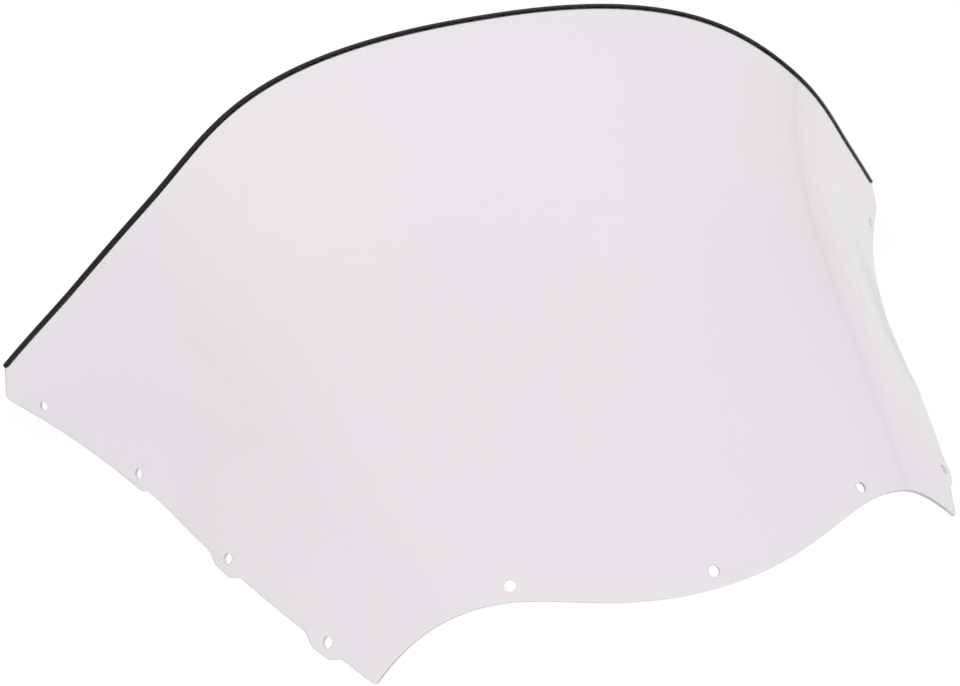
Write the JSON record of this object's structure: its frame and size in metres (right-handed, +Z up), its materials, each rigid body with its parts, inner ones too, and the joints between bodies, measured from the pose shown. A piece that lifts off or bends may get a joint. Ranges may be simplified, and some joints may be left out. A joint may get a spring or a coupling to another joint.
{
  "type": "windshield screen",
  "caption": "Clear hood-shaped windshield screen with steep drilled side flanges, a drilled front edge and a black moulding over its top edge.",
  "frame": {"origin": "bottom centre of the part's box, on the surface that the part stands on", "axes": "+X to the rider's left, across the screen; +Y rearwards, towards the rider; +Z up"},
  "size_m": [0.7356, 0.4042, 0.2491],
  "materials": {
    "clear_polycarbonate": "clear polycarbonate, polished, very slightly lavender",
    "black_pvc": "gloss black extruded PVC",
    "adhesive": "cured grey adhesive, hidden in the trim's channel"
  },
  "bodies": {
    "root": {"screen_panel": "clear_polycarbonate", "edge_trim": "black_pvc", "trim_adhesive": "adhesive"}
  },
  "joints": []
}
